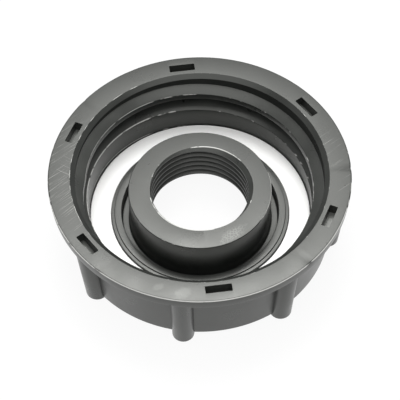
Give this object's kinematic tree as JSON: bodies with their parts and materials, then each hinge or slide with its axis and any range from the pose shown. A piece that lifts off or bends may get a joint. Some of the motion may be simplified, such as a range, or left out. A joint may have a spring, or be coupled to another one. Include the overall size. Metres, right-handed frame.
{
  "type": "ibc tap adapter",
  "caption": "Round lugged screw-on adapter with a coarse internal thread in its mouth, a flat white sealing ring in its seat and a pipe-threaded boss through its floor.",
  "frame": {"origin": "centre of the plane that the eight lug feet stand on, on the common axis", "axes": "+Z along the common axis, up through the threaded mouth; +Y away from the side that the picture is taken from"},
  "size_m": [0.074, 0.074, 0.022],
  "materials": {
    "body_plastic": "satin dark grey moulded plastic, lightly scuffed",
    "seal_white": "matt white"
  },
  "bodies": {
    "root": {"adapter_body": "body_plastic", "gasket": "seal_white"}
  },
  "joints": []
}
